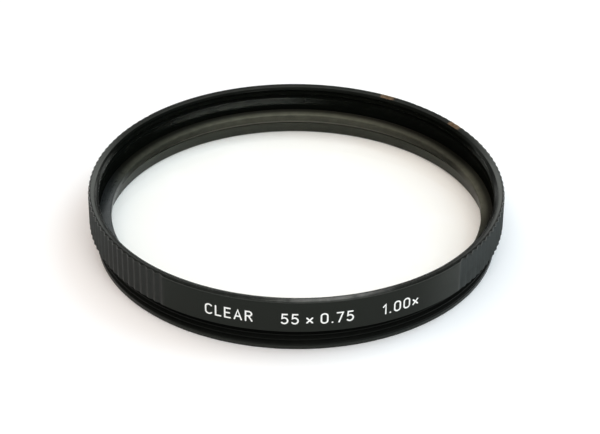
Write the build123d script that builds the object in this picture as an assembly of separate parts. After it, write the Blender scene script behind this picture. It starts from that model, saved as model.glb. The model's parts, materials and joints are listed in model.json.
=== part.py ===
from build123d import *
import math
import os

# A screw-in lens filter lying on its rear face, front side up.
# Z runs along the optical axis, Z = 0 is the rear face, and the smooth marking face looks along -Y.
# All sizes are in millimetres, angles in degrees.

# Screw threads: the rear male and the front female thread have the same nominal size.
thread_diameter = 55.0
thread_pitch = 0.75
minor_share = 0.54127           # depth of an ISO internal thread for each millimetre of pitch

# Rear sleeve, which carries the male thread
sleeve_length = 3.46            # rear face to the shoulder under the rim
sleeve_wall = 1.3               # male thread crest to the rear bore
sleeve_chamfer = 0.12           # lead of the male thread
rear_edge_break = 0.2           # inner edge of the rear face
relief_width = 0.7              # undercut below the shoulder
relief_depth = 0.5              # undercut below the thread crest

# Rim, which is gripped to turn the filter
rim_overhang = 1.0              # rim outside the male thread crest
rim_height = 4.78
rim_top_chamfer = 0.24
rim_bottom_chamfer = 0.14
lip_width = 0.57                # flat front lip between its two chamfers
lead_in_angle = 45.0            # inner chamfer of the front lip, from the axis

# Knurl: straight V grooves on two opposite grips, with a smooth face between them
knurl_pitch = 1.27              # along the rim
knurl_depth = 0.22
knurl_angle = 142.0             # between the two flanks of a groove
grip_count = 2
smooth_arc = 89.2               # between the nearest grooves of two grips

# Glass and its seat
seat_height = 1.55
seat_width = 0.45
glass_thickness = 2.0
glass_clearance = 0.05          # round the edge of the glass
glass_bevel = 0.15

# Split spring ring that holds the glass down
keeper_thickness = 1.0
keeper_width = 1.9              # radial
keeper_bevel = 0.15             # inner front edge
keeper_gap = 3.0                # opening of the split, turned to the smooth marking face
keeper_grip = 0.3               # groove depth behind the front bore
keeper_clearance = 0.05         # in its groove, radial and axial

# Radii and heights that follow
thread_radius = thread_diameter / 2
relief_radius = thread_radius - relief_depth
rear_bore_radius = thread_radius - sleeve_wall
rim_radius = thread_radius + rim_overhang
front_bore_radius = thread_radius - minor_share * thread_pitch
pocket_radius = rear_bore_radius + seat_width
glass_radius = pocket_radius - glass_clearance
groove_radius = front_bore_radius + keeper_grip
keeper_outer_radius = groove_radius - keeper_clearance
keeper_inner_radius = keeper_outer_radius - keeper_width
lip_outer_radius = rim_radius - rim_top_chamfer
lip_inner_radius = lip_outer_radius - lip_width

front_height = sleeve_length + rim_height
glass_top = seat_height + glass_thickness
keeper_top = glass_top + keeper_thickness
groove_top = keeper_top + keeper_clearance
lead_in_depth = (lip_inner_radius - front_bore_radius) / math.tan(math.radians(lead_in_angle))


def turned(points):
    """A body of revolution about Z from a closed outline of radius and height pairs."""
    outline = Polyline(*[(radius, 0, height) for radius, height in points], close=True)
    return revolve(make_face(outline), axis=Axis.Z)


def ring_outline():
    """Half section of the mount ring, from the rear face up the outside and back down the bore."""
    outside = [
        (rear_bore_radius + rear_edge_break, 0),
        (thread_radius - sleeve_chamfer, 0),
        (thread_radius, sleeve_chamfer),
        (thread_radius, sleeve_length - relief_width),
        (relief_radius, sleeve_length - relief_width),
        (relief_radius, sleeve_length),
        (rim_radius - rim_bottom_chamfer, sleeve_length),
        (rim_radius, sleeve_length + rim_bottom_chamfer),
        (rim_radius, front_height - rim_top_chamfer),
        (lip_outer_radius, front_height),
    ]
    bore = [
        (lip_inner_radius, front_height),
        (front_bore_radius, front_height - lead_in_depth),
        (front_bore_radius, groove_top),
        (groove_radius, groove_top),
        (groove_radius, glass_top),
        (pocket_radius, glass_top),
        (pocket_radius, seat_height),
        (rear_bore_radius, seat_height),
        (rear_bore_radius, rear_edge_break),
    ]
    return outside + bore


def groove_angles():
    """Where the knurl grooves stand round the rim, evenly spaced inside each grip."""
    sector = 360 / grip_count
    pitch_angle = math.degrees(knurl_pitch / rim_radius)
    spaces = round((sector - smooth_arc) / pitch_angle)
    angles = []
    for grip in range(grip_count):
        grip_centre = -90 + sector * (grip + 0.5)
        for index in range(spaces + 1):
            angles.append(grip_centre + (index - spaces / 2) * pitch_angle)
    return angles


def knurled_plan():
    """The rim seen from the front: a full disc with a V cut at each knurl groove."""
    root_radius = rim_radius - knurl_depth
    reach = 2 * knurl_depth     # carries the cutter past the rim
    half_width = reach * math.tan(math.radians(knurl_angle / 2))
    cutter = make_face(Polyline(
        (root_radius, 0),
        (root_radius + reach, half_width),
        (root_radius + reach, -half_width),
        close=True,
    ))
    return Circle(rim_radius) - [Rot(0, 0, angle) * cutter for angle in groove_angles()]


def filter_ring():
    """The mount ring, turned in one piece and then grooved on its two grips."""
    return turned(ring_outline()) & extrude(knurled_plan(), amount=front_height)


def filter_glass():
    """The clear disc, bevelled on both edges."""
    return turned([
        (0, seat_height),
        (glass_radius - glass_bevel, seat_height),
        (glass_radius, seat_height + glass_bevel),
        (glass_radius, glass_top - glass_bevel),
        (glass_radius - glass_bevel, glass_top),
        (0, glass_top),
    ])


def retaining_ring():
    """The split spring ring, bevelled towards the glass."""
    hoop = turned([
        (keeper_inner_radius, glass_top),
        (keeper_outer_radius, glass_top),
        (keeper_outer_radius, keeper_top),
        (keeper_inner_radius + keeper_bevel, keeper_top),
        (keeper_inner_radius, keeper_top - keeper_bevel),
    ])
    middle_radius = (keeper_inner_radius + keeper_outer_radius) / 2
    split = Pos(0, -middle_radius, (glass_top + keeper_top) / 2) * Box(
        keeper_gap, 2 * keeper_width, 2 * keeper_thickness
    )
    return hoop - split


os.makedirs("parts", exist_ok=True)
for make_piece in (filter_ring, filter_glass, retaining_ring):
    export_step(make_piece(), f"parts/{make_piece.__name__}.step")
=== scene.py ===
import json
import math

import bmesh
import bpy
import numpy as np
from mathutils import Matrix, Vector


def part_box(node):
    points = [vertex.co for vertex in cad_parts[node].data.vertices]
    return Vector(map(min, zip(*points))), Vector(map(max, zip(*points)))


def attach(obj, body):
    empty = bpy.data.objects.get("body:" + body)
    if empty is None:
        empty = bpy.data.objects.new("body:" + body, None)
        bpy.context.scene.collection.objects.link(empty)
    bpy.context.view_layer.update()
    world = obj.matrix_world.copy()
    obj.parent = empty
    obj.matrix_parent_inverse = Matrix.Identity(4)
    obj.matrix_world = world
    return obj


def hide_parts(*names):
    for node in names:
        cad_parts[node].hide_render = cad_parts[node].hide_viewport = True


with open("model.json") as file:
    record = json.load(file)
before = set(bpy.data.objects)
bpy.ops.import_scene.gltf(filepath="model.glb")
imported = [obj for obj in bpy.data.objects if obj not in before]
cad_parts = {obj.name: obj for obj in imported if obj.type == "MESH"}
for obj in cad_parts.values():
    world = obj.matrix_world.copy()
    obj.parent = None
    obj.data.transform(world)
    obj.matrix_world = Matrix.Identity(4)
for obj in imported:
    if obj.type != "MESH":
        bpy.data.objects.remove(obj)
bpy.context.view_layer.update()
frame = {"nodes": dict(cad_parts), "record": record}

mm = 0.001
mountRadius = {m["name"]: m["dims"].get("r_mm") for m in frame["record"]["mounts"]}
ringLow, ringHigh = (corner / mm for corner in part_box("filter_ring"))
glassLow, glassHigh = (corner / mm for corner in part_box("filter_glass"))
keeperLow, keeperHigh = (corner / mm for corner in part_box("retaining_ring"))
print("frame loaded:", sorted(frame["nodes"]))


class Wire:                                   # a socket that can be added, multiplied and blended
    def __init__(self, tree, socket=None):
        self.tree = tree
        self.socket = socket

    def node(self, kind, settings, values, out=0):
        made = self.tree.nodes.new(kind)
        for name, value in settings.items():
            if name == "stops":
                self.setStops(made.color_ramp, value)
            else:
                setattr(made, name, value)
        for name, value in values.items():
            if isinstance(value, Wire):
                self.tree.links.new(value.socket, made.inputs[name])
            else:
                made.inputs[name].default_value = value
        return Wire(self.tree, made.outputs[out] if made.outputs else None)

    @staticmethod
    def setStops(ramp, stops):
        while len(ramp.elements) < len(stops):
            ramp.elements.new(1.0)
        for element, (place, colour) in zip(ramp.elements, stops):
            element.position = place
            element.color = colour

    def maths(self, operation, first, second=0.0, third=0.0):
        return self.node("ShaderNodeMath", {"operation": operation}, {0: first, 1: second, 2: third})

    def __add__(self, other):
        return self.maths("ADD", self, other)

    def __sub__(self, other):
        return self.maths("SUBTRACT", self, other)

    def __rsub__(self, other):
        return self.maths("SUBTRACT", other, self)

    def __mul__(self, other):
        return self.maths("MULTIPLY", self, other)

    def __truediv__(self, other):
        return self.maths("DIVIDE", self, other)

    def __rtruediv__(self, other):
        return self.maths("DIVIDE", other, self)

    __radd__ = __add__
    __rmul__ = __mul__

    def clamped(self):
        return self.node("ShaderNodeClamp", {}, {"Value": self})

    def band(self, low, high):                # 0 below low, 1 above high
        return self.node("ShaderNodeMapRange", {"interpolation_type": "SMOOTHSTEP"},
                         {"Value": self, "From Min": low, "From Max": high})

    def blend(self, first, second):           # this value mixes two colours
        return self.node("ShaderNodeMix", {"data_type": "RGBA"}, {0: self, 6: first, 7: second}, 2)


def startMaterial(name):
    material = bpy.data.materials.new(name)
    material.use_nodes = True
    tree = material.node_tree
    tree.nodes.clear()
    return material, Wire(tree)


def principled(wire, values):
    shader = wire.node("ShaderNodeBsdfPrincipled", {}, values)
    wire.node("ShaderNodeOutputMaterial", {}, {"Surface": shader})


def objectPlace(wire):
    return wire.node("ShaderNodeTexCoord", {}, {}, "Object")


def polarPlace(wire):                         # millimetres from the axis, radians round it, millimetres along
    place = objectPlace(wire)
    x, y, z = (wire.node("ShaderNodeSeparateXYZ", {}, {"Vector": place}, axis) for axis in "XYZ")
    radius = wire.maths("SQRT", x * x + y * y) / mm
    turn = wire.maths("ARCTAN2", y, x)
    return radius, turn, z / mm


def degreesAway(wire, turn, middle):          # how far round the axis a place is from a middle
    off = wire.maths("WRAP", turn * (180.0 / math.pi) - middle, 180.0, -180.0)
    return wire.maths("ABSOLUTE", off)


def noise(wire, vector, scale, detail):
    return wire.node("ShaderNodeTexNoise", {"noise_dimensions": "3D"},
                     {"Vector": vector, "Scale": scale, "Detail": detail, "Roughness": 0.55}, "Fac")


def vector3(wire, x, y, z):
    return wire.node("ShaderNodeCombineXYZ", {}, {"X": x, "Y": y, "Z": z})


blackFinish = {
    "colour": (0.0030, 0.0036, 0.0029, 1.0),
    "wornAndPaintedLightColour": (0.012, 0.012, 0.011, 1.0),    # where handling has polished the edges of the mount ring; on the keeper, the tone of its painted light and painted highlight
    "bareColour": (0.46, 0.30, 0.185, 1.0),        # metal under the finish
    "roughness": 0.34,
    "ior": 1.30,
    "patchy": 0.8,                                 # how unevenly the rubbing shows
    "sheen": (0.92, 1.0, 0.90, 1.0),               # the finish mirrors a little green
    "wornTurns": (56.0, 30.0),                     # degrees, where the front lip has lost its finish
    "wornWidth": 3.0,
    "paintedHighlightColour": (0.13, 0.13, 0.125, 1.0),       # painted highlight: grey where the lamp's highlight lies along the front of the lip
}
blackGrain = {
    "turned": (22.0, 1.5),                         # turning marks: scale for each millimetre and each radian
    "mottle": 900.0,                               # noise scales for each metre
    "grain": 14000.0,
    "uneven": (0.14, 0.16),                        # how far mottle and turning marks change the roughness
    "grainRelief": 0.35,
    "bump": 0.35,
    "depth": 0.004,                                # millimetres
}
rimBlack = {**blackFinish, "colour": (0.0140, 0.0158, 0.0136, 1.0), "ior": 1.16}
# painted light: a paler copy of the rim's black, laid on the front-right of the smooth wall where more light
# falls
rimPaintedLight = {**rimBlack, "colour": (0.029, 0.032, 0.0285, 1.0)}
# Painted highlight along one line at the front of the lip: degrees round the axis, and millimetres from it
lipPaintedHighlight = {"middle": -86.0, "reach": (4.0, 20.0), "line": 28.15, "aside": (0.1, 0.4)}
lipBlack = {**blackFinish, "ior": 1.8, "roughness": 0.2, "paintedHighlight": lipPaintedHighlight}
gripBlack = {**blackFinish, "roughness": 0.48, "ior": 1.2, "colour": (0.0205, 0.0217, 0.0205, 1.0)}
# a duller finish, and a paler colour that is painted light on the right grip and at the left limb
gripDullAndPaintedLight = {**gripBlack, "roughness": 0.6, "ior": 1.1, "colour": (0.045, 0.0505, 0.0495, 1.0)}
edgeBlack = {**blackFinish, "roughness": 0.26, "ior": 1.45, "paintedHighlight": lipPaintedHighlight}
underBlack = {**blackFinish, "roughness": 0.6, "ior": 1.02}
boreBlack = {**blackFinish, "roughness": 0.5, "ior": 1.035, "colour": (0.0027, 0.0034, 0.0026, 1.0)}
seatBlack = {**blackFinish, "colour": (0.017, 0.0175, 0.0127, 1.0), "ior": 1.38}
sleeveBlack = {**blackFinish, "roughness": 0.45, "ior": 1.16, "colour": (0.0045, 0.0052, 0.0045, 1.0)}


def paintedHighlightShare(wire, paintedHighlight, radius, turn, mottle):      # painted highlight: a grey stretch along one line of the lip
    away = degreesAway(wire, turn, paintedHighlight["middle"]).band(*paintedHighlight["reach"])
    aside = wire.maths("ABSOLUTE", radius - paintedHighlight["line"]).band(*paintedHighlight["aside"])
    return (1.0 - away) * (1.0 - aside) * mottle.band(0.0, 0.6)


def bareShare(wire, look, turn, mottle, rubbed):        # spots that have lost their finish
    spots = 0.0
    for middle in look["wornTurns"]:
        away = degreesAway(wire, turn, middle) / look["wornWidth"]
        spots = spots + (1.0 - (away + (mottle - 0.5) * 0.9).band(0.1, 1.0))
    return (spots * mottle.band(0.28, 0.5) * rubbed.band(0.03, 0.2)).clamped()


def blackShader(wire, look, toolMarks, worn):
    place = objectPlace(wire)
    radius, turn, height = polarPlace(wire)
    across, along = blackGrain["turned"]
    turned = noise(wire, vector3(wire, radius * across, height * across, turn * along), 1.0, 2.0)
    mottle = noise(wire, place, blackGrain["mottle"], 4.0)
    grain = noise(wire, place, blackGrain["grain"], 2.0)
    # The paler tone: wear on the mount ring, painted light on the keeper
    rubbed = wire.node("ShaderNodeAttribute", {"attribute_name": "rubbed"}, {}, "Fac")
    rubbed = (rubbed * (mottle.band(0.3, 0.75) * look["patchy"] + (1 - look["patchy"]))).clamped()
    colour = rubbed.blend(look["colour"], look["wornAndPaintedLightColour"])
    byMottle, byMarks = blackGrain["uneven"]
    roughness = look["roughness"] + (mottle - 0.5) * byMottle + (turned - 0.5) * byMarks
    metallic = 0.0
    # painted highlight laid on the lip and its rounded edge
    if "paintedHighlight" in look:
        colour = paintedHighlightShare(wire, look["paintedHighlight"], radius, turn, mottle).blend(colour, look["paintedHighlightColour"])
    if worn:
        metallic = bareShare(wire, look, turn, mottle, rubbed)
        colour = metallic.blend(colour, look["bareColour"])
    relief = turned * toolMarks + grain * blackGrain["grainRelief"]
    normal = wire.node("ShaderNodeBump", {}, {
        "Height": relief, "Strength": blackGrain["bump"], "Distance": blackGrain["depth"] * mm})
    return wire.node("ShaderNodeBsdfPrincipled", {}, {
        "Base Color": colour, "Roughness": roughness, "Metallic": metallic, "Normal": normal,
        "IOR": look["ior"], "Specular Tint": look["sheen"]})


def blackMetal(name, look, toolMarks, worn):
    material, wire = startMaterial(name)
    wire.node("ShaderNodeOutputMaterial", {}, {"Surface": blackShader(wire, look, toolMarks, worn)})
    return material


def patchShare(wire, patches):                # each patch fades in and out along the axis and round it
    _, turn, height = polarPlace(wire)
    total = 0.0
    for patch in patches:
        share = patch["share"]
        if "heights" in patch:
            a, b, c, d = patch["heights"]
            share = height.band(a, b) * (1.0 - height.band(c, d)) * share
        if "middle" in patch:
            share = share * (1.0 - degreesAway(wire, turn, patch["middle"]).band(*patch["reach"]))
        total = total + share
    return total.clamped()


def layeredBlack(name, look, *layers):        # each layer is a look and the patches where it shows
    material, wire = startMaterial(name)
    toolMarks = 0.8
    shader = blackShader(wire, look, toolMarks, False)
    for upper, patches in layers:
        values = {0: patchShare(wire, patches), 1: shader, 2: blackShader(wire, upper, toolMarks, False)}
        shader = wire.node("ShaderNodeMixShader", {}, values)
    wire.node("ShaderNodeOutputMaterial", {}, {"Surface": shader})
    return material


meshCare = {"weld": 2e-7, "thin": 1e-8, "sharp": 24.0}         # metres, metres and degrees


def closedMesh(name, points, faces, zones, materials):
    mesh = bpy.data.meshes.new(name)
    mesh.from_pydata((points * mm).tolist(), [], faces)
    for material in materials:
        mesh.materials.append(material)
    if zones is not None:
        mesh.polygons.foreach_set("material_index", zones)
    work = bmesh.new()
    work.from_mesh(mesh)
    bmesh.ops.remove_doubles(work, verts=work.verts, dist=meshCare["weld"])
    bmesh.ops.dissolve_degenerate(work, edges=work.edges, dist=meshCare["thin"])
    bmesh.ops.recalc_face_normals(work, faces=work.faces)
    for face in work.faces:
        face.smooth = True
    work.to_mesh(mesh)
    work.free()
    mesh.set_sharp_from_angle(angle=math.radians(meshCare["sharp"]))
    piece = bpy.data.objects.new(name, mesh)
    bpy.context.scene.collection.objects.link(piece)
    return piece


def gridFaces(columns, rows, wrapRows):
    faces = []
    rowPairs = [(r, (r + 1) % rows) for r in range(rows if wrapRows else rows - 1)]
    for column in range(columns - 1):
        here, there = column * rows, (column + 1) * rows
        faces.extend((here + a, there + a, there + b, here + b) for a, b in rowPairs)
    return faces


# The mount ring: its half section is carried round the axis column by column.
ringShape = {                                 # millimetres and degrees
    "pitch": 0.75,
    "rimUnder": 3.46,                         # height of the shoulder under the rim
    "rimUnderBreak": 0.06,
    "rimTopRound": 0.36,                      # takes off as much as the chamfer of the solid
    "roundSteps": 5,
    "lipWidth": 0.45,                         # to where the lead-in chamfer starts on the solid
    "lipCrown": ((0.0, 0.0), (0.04, 0.007), (0.28, 0.055), (0.57, 0.135)),   # inwards and down
    "reliefRadius": 27.0,
    "reliefLow": 2.76,
    "sleeveChamfer": 0.12,
    "leadInAngle": 45.0,                      # inner chamfer of the lip, from the axis
    "leadInRun": 0.03,                        # the front thread's rows start this far up the chamfer
    "rearBore": 26.2,
    "rearBreak": 0.2,
    "pocketRadius": 26.65,
    "grooveRadius": 27.394,
    "grooveTop": 4.6,
    "maleLow": 0.65,                          # plain land below the rear thread
    "maleDepth": 0.46,
    "maleFlats": (0.125, 0.167),              # crest and root, in pitches
    "maleRows": (0.0, 0.085, 0.167, 0.3, 0.44, 0.52, 0.6, 0.646, 0.78, 0.9),      # in one pitch
    "femaleLow": 6.2,                         # where the front thread runs out
    "femaleFlats": (0.25, 0.125),
    "femaleRows": (0.0, 0.0625, 0.125, 0.25, 0.35, 0.44, 0.56, 0.69, 0.75, 0.875),
    "threadFade": 0.35,
    "knurlPitch": 1.27,
    "knurlDepth": 0.22,
    "knurlAngle": 142.0,
    "smoothArc": 89.2,
    "smoothStep": 1.0,
    "knurlSteps": (-0.96, -0.5, -0.1, 0.1, 0.5, 0.96),   # columns in one groove, in half pitches
    "rootFlat": 0.1,                          # rounded root of a groove, in half pitches
    "rubbed": {"sleeve": 0.25, "rim": 0.35, "edge": 0.6, "lip": 1.0, "bore": 0.15},
    "rubFade": 0.35,                          # from the rounded edge down to where the wall isn't rubbed
}
rimRadius, frontHeight = ringHigh.y, ringHigh.z
maleRadius, femaleRadius = mountRadius["rear_thread"], mountRadius["front_thread"]


def grooveTurns(shape):                       # degrees, middles of the knurl grooves
    pitchTurn = math.degrees(shape["knurlPitch"] / rimRadius)
    spaces = round((180.0 - shape["smoothArc"]) / pitchTurn)
    half = [(k - spaces / 2) * pitchTurn for k in range(spaces + 1)]
    return [grip + turn for grip in (0.0, 180.0) for turn in half], pitchTurn


def rimProfile(shape):                        # columns round the rim: turn in degrees and wall radius
    middles, pitchTurn = grooveTurns(shape)
    root = rimRadius - shape["knurlDepth"]
    flank = math.radians(shape["knurlAngle"] / 2)
    edge = math.degrees(flank - math.asin(root * math.sin(flank) / rimRadius))
    turns = {round(m + s * pitchTurn / 2, 5) for m in middles for s in shape["knurlSteps"]}
    for grip in (0.0, 180.0):
        first = [m for m in middles if abs(m - grip) < 90][-1] + edge - 1e-4    # just inside the last groove
        last = grip + 180.0 - (first - grip)
        turns.update(np.round(np.linspace(first, last, int((last - first) / shape["smoothStep"])), 5))
    start = 90.0                              # the columns and both threads start at the back
    turns = sorted((t - start) % 360 + start for t in turns)
    turns = np.array(turns + [turns[0] + 360.0])
    wall = np.full(len(turns), rimRadius)
    for middle in middles:
        off = np.abs((turns - middle + 180) % 360 - 180)
        off = np.clip(off, shape["rootFlat"] * pitchTurn / 2, pitchTurn)
        wall = np.minimum(wall, root * math.sin(flank) / np.sin(flank - np.radians(off)))
    return turns, wall


def threadWave(phase, crest, root):           # 1 on the crest, 0 in the root of a 60 degree thread
    flank = (1 - crest - root) / 2
    phase = phase % 1.0
    return np.interp(phase, [0, root, root + flank, root + flank + crest, 1.0], [0, 0, 1, 1, 0])


def threadRows(low, high, pitch, marks):      # row heights that climb with the helix, before clamping
    turnsNeeded = int(math.ceil((high - low) / pitch)) + 1
    return np.array([low - pitch + (k + m) * pitch for k in range(turnsNeeded + 1) for m in marks])


def ringColumns(shape):
    turns, wall = rimProfile(shape)
    climb = shape["pitch"] * (turns - turns[0]) / 360.0
    full = np.ones(len(turns))
    rub = shape["rubbed"]
    rows, zones, rubs = [], [], []

    def add(radius, height, zone, rubbed=0.0):
        rows.append((radius * full, height * full))
        zones.append(zone)
        rubs.append(rubbed)

    add(shape["rearBore"] + shape["rearBreak"], 0.0, "sleeve")
    maleLow, maleHigh = shape["maleLow"], shape["reliefLow"]
    add(maleRadius - shape["sleeveChamfer"], 0.0, "sleeve", rub["sleeve"])
    add(maleRadius, shape["sleeveChamfer"], "sleeve", rub["sleeve"])
    for row in threadRows(maleLow, maleHigh, shape["pitch"], shape["maleRows"]):
        z = np.clip(row + climb, maleLow, maleHigh)
        wave = threadWave((z - climb) / shape["pitch"], *shape["maleFlats"])
        fade = np.clip((z - maleLow) / shape["threadFade"], 0, 1)
        add(maleRadius - shape["maleDepth"] * (1 - wave) * fade, z, "sleeve", rub["sleeve"])
    add(shape["reliefRadius"], maleHigh, "sleeve")
    add(shape["reliefRadius"], shape["rimUnder"], "sleeve")
    under = np.minimum(rimRadius - shape["rimUnderBreak"], wall)
    add(under, shape["rimUnder"], "under")
    add(wall, shape["rimUnder"] + wall - under, "rim", rub["rim"])
    lipOuter = np.minimum(rimRadius - shape["rimTopRound"], wall)
    add(wall, frontHeight - (wall - lipOuter) - shape["rubFade"], "rim")
    edge = wall - lipOuter
    for step in np.radians(np.linspace(0, 90, shape["roundSteps"] + 1))[:-1]:
        add(lipOuter + edge * math.cos(step), frontHeight - edge * (1 - math.sin(step)), "edge", rub["edge"])
    lipStart = rimRadius - shape["rimTopRound"]
    for inwards, down in shape["lipCrown"]:
        add(np.minimum(lipOuter, lipStart - inwards), frontHeight - down, "lip", rub["lip"])
    lipInner = lipStart - shape["lipWidth"]
    steep = math.tan(math.radians(shape["leadInAngle"]))
    femaleHigh = frontHeight - (lipInner - maleRadius) / steep + shape["leadInRun"]
    for row in threadRows(shape["femaleLow"], femaleHigh, shape["pitch"], shape["femaleRows"])[::-1]:
        z = np.clip(row + climb, shape["femaleLow"], femaleHigh)
        wave = threadWave((z - climb) / shape["pitch"], *shape["femaleFlats"])
        fade = np.clip((z - shape["femaleLow"]) / shape["threadFade"], 0, 1)
        radius = femaleRadius + (maleRadius - femaleRadius) * (1 - wave) * fade
        leadIn = lipInner - (frontHeight - z) * steep
        add(np.maximum(radius, leadIn), z, "bore", rub["bore"])
    add(femaleRadius, shape["grooveTop"], "bore")
    add(shape["grooveRadius"], shape["grooveTop"], "bore")
    add(shape["grooveRadius"], glassHigh.z, "seat")
    add(shape["pocketRadius"], glassHigh.z, "seat")
    add(shape["pocketRadius"], glassLow.z, "seat")
    add(shape["rearBore"], glassLow.z, "seat")
    add(shape["rearBore"], shape["rearBreak"], "seat")
    return turns, wall, rows, zones, rubs


borePolish = (                                # heights in millimetres, middle and reach in degrees
    {"heights": (7.6, 8.1, 9.0, 9.1), "share": 0.12},                                       # lead-in cone
    {"heights": (6.6, 7.9, 9.0, 9.1), "middle": 178.0, "reach": (10.0, 27.0), "share": 0.85},  # its left
    {"heights": (6.6, 7.9, 9.0, 9.1), "middle": -3.0, "reach": (12.0, 32.0), "share": 0.55},   # and right
    {"heights": (5.3, 5.7, 6.6, 7.0), "middle": 104.0, "reach": (8.0, 33.0), "share": 0.35},   # below it
)
# painted light: where the smooth wall takes the paler copy of its black
rimLitPatch = ({"middle": -44.0, "reach": (4.0, 20.0), "share": 1.0},)
# where the grips are duller and carry painted light
gripDullAndLitPatches = (
    {"middle": -30.0, "reach": (50.0, 70.0), "share": 1.0},
    {"middle": 186.0, "reach": (8.0, 24.0), "share": 0.7},
)
sleevePolish = ({"heights": (-0.2, -0.1, 0.40, 0.75), "share": 0.35},)       # plain land below the thread


def markWearAndPaintedLight(piece, rubbed):                # radius and height of a section point to its share of the paler tone: wear on the mount ring, painted shade and painted highlight on the keeper
    attribute = piece.data.attributes.new("rubbed", "FLOAT", "POINT")
    for vertex, datum in zip(piece.data.vertices, attribute.data):
        x, y, z = vertex.co / mm
        datum.value = rubbed.get((round(math.hypot(x, y), 3), round(z, 3)), 0.0)


def buildRing():
    finishes = {
        "rim": layeredBlack("rimFinishAndPaintedLight", rimBlack, (rimPaintedLight, rimLitPatch)),
        "grip": layeredBlack("gripFinishAndPaintedLight", gripBlack, (gripDullAndPaintedLight, gripDullAndLitPatches)),
        "edge": blackMetal("edgeFinishAndPaintedHighlight", edgeBlack, 0.5, True),
        "lip": blackMetal("lipFinishAndPaintedHighlight", lipBlack, 1.0, True),
        "bore": layeredBlack("boreFinish", boreBlack, (lipBlack, borePolish)),
        "seat": blackMetal("seatFinish", seatBlack, 0.3, False),
        "sleeve": layeredBlack("sleeveFinish", sleeveBlack, (lipBlack, sleevePolish)),
        "under": blackMetal("underFinish", underBlack, 0.5, False),
    }
    turns, wall, rows, zones, rubs = ringColumns(ringShape)
    angle = np.radians(turns)
    radius = np.stack([r for r, _ in rows], 1)
    height = np.stack([z for _, z in rows], 1)
    points = np.stack([radius * np.cos(angle)[:, None], radius * np.sin(angle)[:, None], height], 2)
    columns, count = radius.shape
    faces = gridFaces(columns, count, True)
    zoneOrder = list(finishes)
    grooved = wall < rimRadius - 1e-4
    faceZones = []
    for column in range(columns - 1):
        wallZone = "grip" if grooved[column] or grooved[column + 1] else "rim"
        faceZones.extend(zoneOrder.index(wallZone if zone == "rim" else zone) for zone in zones)
    piece = closedMesh("mountRing", points.reshape(-1, 3), faces, faceZones, list(finishes.values()))
    rubbed = {}
    for row, rub in enumerate(rubs):
        for place in zip(np.round(radius[:, row], 3), np.round(height[:, row], 3)):
            rubbed[place] = max(rub, rubbed.get(place, 0.0))
    markWearAndPaintedLight(piece, rubbed)
    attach(piece, "root")
    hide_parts("filter_ring")


buildRing()
print("mount ring built")

# The split spring ring on the glass
keeperShape = {                               # millimetres and degrees
    "bevel": 0.15,
    "width": 1.9,
    "gap": 3.0,
    "edge": 0.03,
    "lift": 0.002,                            # off the glass
    "step": 1.0,
    "shadedFrom": 0.6,                         # painted shade: the top face is black from here outwards, where the bore wall shades it, in widths
    "litTo": 0.28,                         # and pale, as painted light, from here inwards up to the painted highlight on the bevel
}
# Its black and its paler tone; the section's shares lay painted shade and a painted highlight between them
keeperFinishAndPaintedLight = {
    "colour": (0.014, 0.014, 0.011, 1.0),
    "wornAndPaintedLightColour": (0.103, 0.104, 0.078, 1.0),
    "patchy": 0.25,
    "roughness": 0.4,
    "ior": 1.2,
    "sheen": (1.0, 1.0, 0.94, 1.0),
}
keeperBright = {                              # one stretch still has its first gloss
    **keeperFinishAndPaintedLight,
    "colour": (0.012, 0.014, 0.014, 1.0),
    "wornAndPaintedLightColour": (0.032, 0.036, 0.036, 1.0),
    "roughness": 0.3,
    "ior": 1.6,
    "sheen": (0.92, 1.0, 1.0, 1.0),
}
keeperShadedSides = {                                # painted shade: the keeper is darker everywhere but the two lit stretches, at the back and the right
    **keeperFinishAndPaintedLight,
    "colour": (0.004, 0.004, 0.003, 1.0),
    "wornAndPaintedLightColour": (0.054, 0.055, 0.042, 1.0),
    "ior": 1.08,
}
# painted light: the stretches where the keeper keeps its paler tone, out of the painted shade
keeperLitStretches = (
    {"middle": 82.0, "reach": (12.0, 60.0), "share": 1.0},
    {"middle": 4.0, "reach": (8.0, 20.0), "share": 1.0},
)
keeperPolish = ({"middle": 183.0, "reach": (12.0, 34.0), "share": 1.0},)


def buildKeeper(shape):
    outer = keeperHigh.y
    inner = outer - shape["width"]
    low, high, e = keeperLow.z + shape["lift"], keeperHigh.z, shape["edge"]
    bevelIn, bevelLow = inner + shape["bevel"], high - shape["bevel"]
    section = [                               # radius, height, and the share of the paler tone: painted shade on the outer top, painted highlight on the bevel
        (inner, low, 0.4),
        (outer - e, low, 0.0),
        (outer, low + e, 0.0),
        (outer, high - e, 0.0),
        (outer - e, high, 0.0),
        (inner + shape["shadedFrom"] * shape["width"], high, 0.1),
        (inner + shape["litTo"] * shape["width"], high, 0.8),
        (bevelIn + e, high, 0.95),
        (bevelIn - e, high - e / 2, 1.0),
        (inner + e / 2, bevelLow + e, 0.7),
        (inner, bevelLow - e, 0.55),
    ]
    half = math.degrees(math.asin(shape["gap"] / 2 / ((outer + inner) / 2)))
    turns = np.radians(np.linspace(-90 + half, 270 - half, int(360 / shape["step"])))
    points = [(r * math.cos(t), r * math.sin(t), z) for t in turns for r, z, _ in section]
    count = len(section)
    faces = gridFaces(len(turns), count, True)
    faces.append(list(range(count)))
    faces.append([(len(turns) - 1) * count + k for k in reversed(range(count))])
    layers = (keeperFinishAndPaintedLight, keeperLitStretches), (keeperBright, keeperPolish)
    finish = layeredBlack("keeperFinishAndPaintedLight", keeperShadedSides, *layers)
    piece = closedMesh("glassKeeper", np.array(points), faces, None, [finish])
    markWearAndPaintedLight(piece, {(round(r, 3), round(z, 3)): rub for r, z, rub in section})
    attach(piece, "root")
    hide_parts("retaining_ring")


buildKeeper(keeperShape)
print("glass keeper built")

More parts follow.
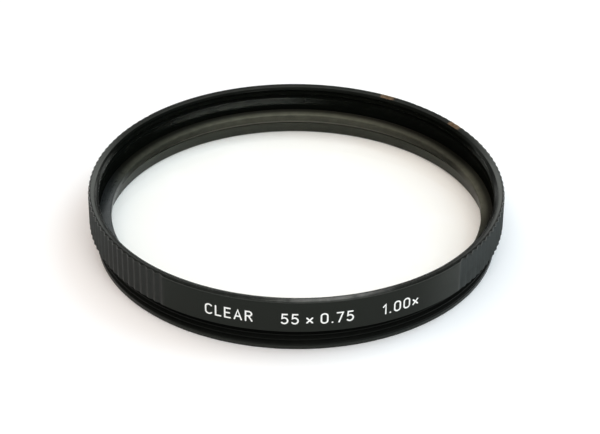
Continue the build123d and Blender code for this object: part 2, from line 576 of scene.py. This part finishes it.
# The clear disc
glassShape = {"bevel": 0.15, "slack": 0.01, "segments": 256}
glassLook = {
    "tint": (0.993, 0.991, 0.976, 1.0),
    "ior": 1.52,
    "coated": 0.8,                            # share of the reflection that a coating takes away
    "passing": (0.995, 0.995, 0.985, 1.0),
    "edge": ((0.095, 0.095, 0.078, 1.0), (0.125, 0.123, 0.1, 1.0)),    # ground dull and darkened
    "haze": (160.0, 0.45, 0.8, 0.01),         # noise scale, where it starts and is full, and how rough
    "dust": (5200.0, 0.8, 0.84, 0.05),
}


def clearGlass(look):
    material, wire = startMaterial("clearGlass")
    place = objectPlace(wire)
    hazeScale, hazeLow, hazeHigh, hazeRough = look["haze"]
    dustScale, dustLow, dustHigh, dustRough = look["dust"]
    haze = noise(wire, place, hazeScale, 4.0).band(hazeLow, hazeHigh)
    dust = noise(wire, place, dustScale, 1.0).band(dustLow, dustHigh)
    glass = wire.node("ShaderNodeBsdfPrincipled", {}, {
        "Base Color": look["tint"], "Roughness": haze * hazeRough + dust * dustRough,
        "Transmission Weight": 1.0, "IOR": look["ior"]})
    unmirrored = wire.node("ShaderNodeBsdfRefraction", {}, {
        "Color": look["tint"], "Roughness": 0.0, "IOR": look["ior"]})
    glass = wire.node("ShaderNodeMixShader", {}, {0: look["coated"], 1: glass, 2: unmirrored})
    clear = wire.node("ShaderNodeBsdfTransparent", {}, {"Color": look["passing"]})
    ray = [wire.node("ShaderNodeLightPath", {}, {}, name) for name in ("Is Shadow Ray", "Is Diffuse Ray")]
    both = wire.node("ShaderNodeMixShader", {}, {0: (ray[0] + ray[1]).clamped(), 1: glass, 2: clear})
    wire.node("ShaderNodeOutputMaterial", {}, {"Surface": both})
    return material


def groundEdge(look):
    material, wire = startMaterial("groundEdge")
    grit = noise(wire, objectPlace(wire), 9000.0, 2.0)
    normal = wire.node("ShaderNodeBump", {}, {"Height": grit, "Strength": 0.5, "Distance": 0.01 * mm})
    principled(wire, {"Base Color": grit.blend(*look["edge"]), "Roughness": 0.5 + grit * 0.3,
                      "Normal": normal, "IOR": 1.3})
    return material


def buildGlass(shape):
    radius, bevel = glassHigh.y, shape["bevel"]
    low, high = glassLow.z + shape["slack"], glassHigh.z - shape["slack"]
    section = [(0.0, low), (radius - bevel, low), (radius, low + bevel), (radius, high - bevel),
               (radius - bevel, high), (0.0, high)]
    turns = np.linspace(0, 2 * math.pi, shape["segments"] + 1)
    points = np.array([(r * math.cos(t), r * math.sin(t), z) for t in turns for r, z in section])
    faces = gridFaces(len(turns), len(section), False)
    zones = [0, 1, 1, 1, 0] * shape["segments"]
    piece = closedMesh("clearDisc", points, faces, zones, [clearGlass(glassLook), groundEdge(glassLook)])
    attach(piece, "root")
    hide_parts("filter_glass")


buildGlass(glassShape)
print("clear disc built")

# Paint-filled marking on the smooth face: generic words, own plain stroke letters
marking = {
    "groups": (("CLEAR", -23.2), ("55 x 0.75", -0.1), ("1.00x", 22.4)),   # words, and degrees from the front
    "height": 1.62,
    "middle": 5.46,
    "stroke": 0.21,
    "spacing": 0.36,
    "proud": 0.006,
    "sunk": 0.05,
    "step": 12.0,                             # degrees along an arc
    "mitre": (0.3, 1.6),                      # sharpest corner followed, and how far it widens a stroke
    "colour": (0.93, 0.94, 0.92, 1.0),
    "dusty": (0.80, 0.81, 0.79, 1.0),
}


def arc(x, y, rx, ry, start, end):            # part of an ellipse, degrees
    steps = max(2, int(abs(end - start) / marking["step"]))
    angles = [math.radians(start + (end - start) * k / steps) for k in range(steps + 1)]
    return [(x + rx * math.cos(a), y + ry * math.sin(a)) for a in angles]


letterLines = {                               # width and centre lines in units of the letter height
    "C": (0.5, [arc(0.27, 0.73, 0.27, 0.27, 35, 180) + arc(0.27, 0.27, 0.27, 0.27, 180, 325)]),
    "L": (0.42, [[(0, 1), (0, 0), (0.42, 0)]]),
    "E": (0.44, [[(0.44, 1), (0, 1), (0, 0), (0.44, 0)], [(0, 0.52), (0.38, 0.52)]]),
    "A": (0.56, [[(0, 0), (0.28, 1), (0.56, 0)], [(0.1, 0.32), (0.46, 0.32)]]),
    "R": (0.5, [[(0, 0), (0, 1), (0.24, 1)] + arc(0.24, 0.76, 0.24, 0.24, 90, -90) + [(0, 0.52)],
                [(0.24, 0.52), (0.5, 0)]]),
    "0": (0.5, [arc(0.25, 0.74, 0.25, 0.26, 0, 180) + arc(0.25, 0.26, 0.25, 0.26, 180, 360) + [(0.5, 0.74)]]),
    "1": (0.22, [[(0, 0.76), (0.2, 1), (0.2, 0)]]),
    "5": (0.46, [[(0.42, 1), (0.06, 1), (0.02, 0.56)] + arc(0.2, 0.32, 0.26, 0.31, 120, -140)]),
    "7": (0.46, [[(0, 1), (0.46, 1), (0.14, 0)]]),
    "x": (0.42, [[(0, 0.1), (0.42, 0.6)], [(0, 0.6), (0.42, 0.1)]]),
    ".": (0.06, [[(0.02, 0.02), (0.04, 0.02)]]),
    " ": (0.0, []),
}


def ribbon(line, half):                       # outline of a stroke with round ends
    line = [Vector(p) for p in line]
    sharpest, widest = marking["mitre"]
    sides = [[], []]
    for k, point in enumerate(line):
        ahead = line[min(k + 1, len(line) - 1)] - point
        behind = point - line[max(k - 1, 0)]
        ways = [w.normalized() for w in (behind, ahead) if w.length > 1e-9]
        way = sum(ways, Vector((0, 0))).normalized()
        stretch = min(1.0 / max(way.dot(ways[0]), sharpest), widest)
        across = Vector((-way.y, way.x)) * half * stretch
        sides[0].append(point + across)
        sides[1].append(point - across)

    def cap(point, way):
        base = math.atan2(way.y, way.x)
        return [point + half * Vector((math.cos(base + a), math.sin(base + a)))
                for a in np.radians(np.linspace(70, -70, 6))]

    end = cap(line[-1], line[-1] - line[-2])
    start = cap(line[0], line[0] - line[1])
    return sides[0], sides[1], end, start


def wrap(point, turn, lift):                  # flat marking place to the rim's wall
    angle = math.radians(-90.0 + turn) + point[0] / rimRadius
    radius = rimRadius + lift
    return (radius * math.cos(angle), radius * math.sin(angle), point[1])


def strokeSolid(line, turn, base):            # points and faces of one stroke, closed and set into the wall
    left, right, end, start = ribbon(line, marking["stroke"] / 2)
    loop = left + end + right[::-1] + start
    n, m, e = len(loop), len(left), len(end)
    points = [wrap(p, turn, lift) for lift in (marking["proud"], -marking["sunk"]) for p in loop]
    faces = []
    for first in (base, base + n):            # the outer and the inner side
        for k in range(m - 1):
            faces.append([first + j for j in (k, k + 1, 2 * m + e - 2 - k, 2 * m + e - 1 - k)])
        faces.append([first + k for k in range(m - 1, m + e + 1)])
        faces.append([first + k for k in list(range(2 * m + e - 1, n)) + [0]])
    for k in range(base, base + n):
        after = base + (k - base + 1) % n
        faces.append([k, after, after + n, k + n])
    return points, faces


def paintFill():
    material, wire = startMaterial("paintFill")
    chalk = noise(wire, objectPlace(wire), 4000.0, 3.0)
    colour = chalk.blend(marking["colour"], marking["dusty"])
    normal = wire.node("ShaderNodeBump", {}, {"Height": chalk, "Strength": 0.4, "Distance": 0.01 * mm})
    principled(wire, {"Base Color": colour, "Roughness": 0.55 + chalk * 0.2, "Normal": normal})
    return material


def buildMarking():
    points, faces = [], []
    size = marking["height"]
    tall = size - marking["stroke"]           # height of the centre lines
    gap = (marking["spacing"] + marking["stroke"]) / size
    for word, turn in marking["groups"]:
        letters = [letterLines[letter] for letter in word]
        x = -(sum(width for width, _ in letters) + gap * (len(letters) - 1)) / 2
        for width, lines in letters:
            for line in lines:
                flat = [((x + px) * size, marking["middle"] + (py - 0.5) * tall) for px, py in line]
                morePoints, moreFaces = strokeSolid(flat, turn, len(points))
                points.extend(morePoints)
                faces.extend(moreFaces)
            x += width + gap
    piece = closedMesh("markingPaint", np.array(points), faces, None, [paintFill()])
    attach(piece, "root")


buildMarking()
print("marking built")

# Floor, light and camera
floorLook = {"size": 3.0, "drop": 0.02, "colour": (0.90, 0.90, 0.90, 1.0), "glow": 0.13}


def buildFloor(look):
    half = look["size"] / 2
    mesh = bpy.data.meshes.new("studioFloor")
    corners = [(-half, -half), (half, -half), (half, half), (-half, half)]
    mesh.from_pydata([(x, y, -look["drop"] * mm) for x, y in corners], [], [(0, 1, 2, 3)])
    floor = bpy.data.objects.new("studioFloor", mesh)
    bpy.context.scene.collection.objects.link(floor)
    material, wire = startMaterial("paperWhite")
    ray = [wire.node("ShaderNodeLightPath", {}, {}, name)
           for name in ("Is Camera Ray", "Is Glossy Ray", "Is Transmission Ray")]
    seen = (ray[0] + ray[1] + ray[2]).clamped()
    paper = wire.node("ShaderNodeBsdfDiffuse", {}, {"Color": look["colour"]})
    glow = wire.node("ShaderNodeEmission", {}, {"Color": (1, 1, 1, 1), "Strength": look["glow"]})
    both = wire.node("ShaderNodeAddShader", {}, {0: paper, 1: glow})
    lit = wire.node("ShaderNodeMixShader", {}, {0: seen, 1: paper, 2: both})
    wire.node("ShaderNodeOutputMaterial", {}, {"Surface": lit})
    mesh.materials.append(material)


skyLook = {                                   # greys by height: a white backdrop and a light stand behind
    "front": ((0.0, 0.7), (0.28, 0.7), (0.42, 0.4), (1.0, 0.4)),
    "back": ((0.0, 1.0), (0.05, 1.0), (0.11, 0.1), (0.38, 0.1),
             (0.44, 1.15), (0.57, 1.15), (0.63, 0.1), (1.0, 0.1)),
    "turn": (0.1, 0.9),                       # from where the front goes over into the back
    "sides": (0.55, 0.85, 0.8),               # where the dark sides start and are full, and how dark
    "strength": 1.0,
}


def buildSky(look):
    world = bpy.data.worlds.new("studioSky")
    bpy.context.scene.world = world
    world.use_nodes = True
    world.node_tree.nodes.clear()
    wire = Wire(world.node_tree)
    way = wire.node("ShaderNodeTexCoord", {}, {}, "Generated")
    up = wire.node("ShaderNodeSeparateXYZ", {}, {"Vector": way}, "Z")
    behind = wire.node("ShaderNodeSeparateXYZ", {}, {"Vector": way}, "Y").band(*look["turn"])
    start, full, dark = look["sides"]
    across = wire.maths("ABSOLUTE", wire.node("ShaderNodeSeparateXYZ", {}, {"Vector": way}, "X"))
    sides = []
    for side in ("front", "back"):
        stops = [(height, (grey, grey, grey, 1.0)) for height, grey in look[side]]
        sides.append(wire.node("ShaderNodeValToRGB", {"stops": stops}, {"Fac": up}))
    colour = (across.band(start, full) * dark).blend(behind.blend(*sides), (0.0, 0.0, 0.0, 1.0))
    sky = wire.node("ShaderNodeBackground", {}, {"Color": colour, "Strength": look["strength"]})
    wire.node("ShaderNodeOutputWorld", {}, {"Surface": sky})


lamps = {                                     # degrees from the front and up, distance, sizes, share, colour
    "frontTop": (0.0, 53.0, 0.7, (0.50, 0.13), 0.18, (1.0, 0.99, 0.97)),
    "frontFill": (14.0, 33.0, 0.7, (0.7, 0.7), 0.18, (1.0, 1.0, 1.0)),
    "topFill": (0.0, 88.0, 0.8, (0.6, 0.6), 0.19, (1.0, 1.0, 1.0)),
    "leftFill": (-104.0, 50.0, 0.9, (0.8, 0.8), 0.19, (1.0, 0.68, 0.46)),
    "rightFill": (100.0, 50.0, 0.9, (0.6, 0.6), 0.31, (0.66, 0.87, 1.0)),
}


def buildLamps():
    for name, (turn, rise, far, sizes, share, colour) in lamps.items():
        a, e = math.radians(turn), math.radians(rise)
        lamp = bpy.data.lights.new(name, "AREA")
        lamp.shape = "RECTANGLE"
        lamp.size, lamp.size_y = sizes
        lamp.energy = share * math.pi ** 2 * far ** 2 / math.sin(e)     # share of a fully lit floor
        lamp.color = colour
        way = Vector((math.sin(a) * math.cos(e), -math.cos(a) * math.cos(e), math.sin(e)))
        holder = bpy.data.objects.new(name, lamp)
        holder.location = way * far
        holder.visible_glossy = not name.endswith("Fill")
        holder.rotation_euler = way.to_track_quat("Z", "Y").to_euler()
        bpy.context.scene.collection.objects.link(holder)


view = {                                      # how the photograph's camera stands, lengths in millimetres
    "turn": -5.8,
    "elevation": 32.8,
    "distance": 287.6,
    "roll": -0.442,
    "pan": -0.109,
    "tilt": -0.453,
    "focal": 123.9,
    "sensor": 36.0,
}


def buildCamera(look):
    camera = bpy.data.cameras.new("photoCamera")
    camera.lens = look["focal"]
    camera.sensor_width = look["sensor"]
    camera.clip_start, camera.clip_end = 0.01, 10.0
    a, e = math.radians(look["turn"]), math.radians(look["elevation"])
    back = Vector((math.sin(a) * math.cos(e), -math.cos(a) * math.cos(e), math.sin(e)))
    right = Vector((math.cos(a), math.sin(a), 0.0))
    axes = np.array([right, back.cross(right), -back])        # right, up and forward
    for first, second, degrees in ((0, 1, -look["roll"]), (0, 2, look["pan"]), (1, 2, look["tilt"])):
        c, s = math.cos(math.radians(degrees)), math.sin(math.radians(degrees))
        axes[first], axes[second] = c * axes[first] + s * axes[second], c * axes[second] - s * axes[first]
    holder = bpy.data.objects.new("photoCamera", camera)
    turn = Matrix((axes[0], axes[1], -axes[2])).transposed().to_4x4()
    holder.matrix_world = Matrix.Translation(back * look["distance"] * mm) @ turn
    bpy.context.scene.collection.objects.link(holder)
    bpy.context.scene.camera = holder


buildFloor(floorLook)
buildSky(skyLook)
buildLamps()
buildCamera(view)
bpy.context.scene.view_settings.view_transform = "Standard"
print("floor, light and camera set")
